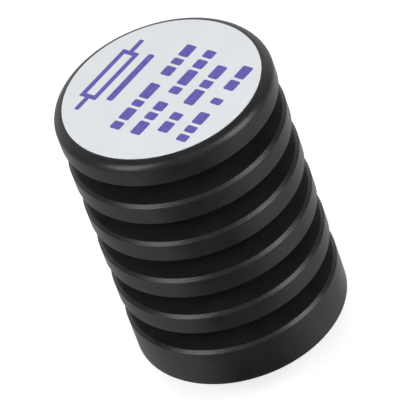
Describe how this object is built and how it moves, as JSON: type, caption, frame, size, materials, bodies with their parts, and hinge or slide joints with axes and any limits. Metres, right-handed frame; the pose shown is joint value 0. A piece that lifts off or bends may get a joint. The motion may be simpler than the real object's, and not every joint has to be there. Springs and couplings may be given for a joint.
{
  "type": "coaxial terminator",
  "caption": "Round finned heat sink with a power resistor inside, ending in a screw-on coaxial plug whose knurled nut turns freely. It ends a coaxial line and sheds the power as heat.",
  "frame": {"origin": "on the axis, at the free end of the coupling nut, which is the bottom of the part as it stands", "axes": "+Z along the axis from the plug up to the label; X and Y are the diagonals between the four flange screws"},
  "size_m": [0.0572, 0.0572, 0.0926],
  "materials": {
    "black_anodised": "black anodised over a turned surface, satin",
    "label_film": "pale grey film with a dull sheen",
    "nickel": "nickel plated brass, bright",
    "spring_bronze": "bare phosphor bronze",
    "silicone": "brick red silicone",
    "bright_plate": "silver coloured plating, bright",
    "gold": "gold plated",
    "insulator": "white fluoropolymer",
    "stainless": "stainless steel",
    "ceramic": "white ceramic, unglazed"
  },
  "bodies": {
    "load": {"heat_sink": "black_anodised", "label": "label_film", "plug_body": "nickel", "retaining_ring": "spring_bronze", "gasket": "silicone", "outer_contact": "bright_plate", "centre_pin": "gold", "front_insulator": "insulator", "rear_insulator": "insulator", "insulator_bush": "nickel", "flange_screws": "stainless", "flange_washers": "stainless", "resistor_flange": "nickel", "resistor_substrate": "ceramic", "resistor_lid": "ceramic", "resistor_tab": "bright_plate", "resistor_screws": "stainless", "resistor_washers": "stainless"},
    "nut": {"coupling_nut": "nickel"}
  },
  "joints": [
    {"name": "nut_turn", "type": "hinge", "parent": "load", "child": "nut", "pos_m": [0, 0, 0.0131], "axis": [0, 0, 1], "continuous": true}
  ]
}
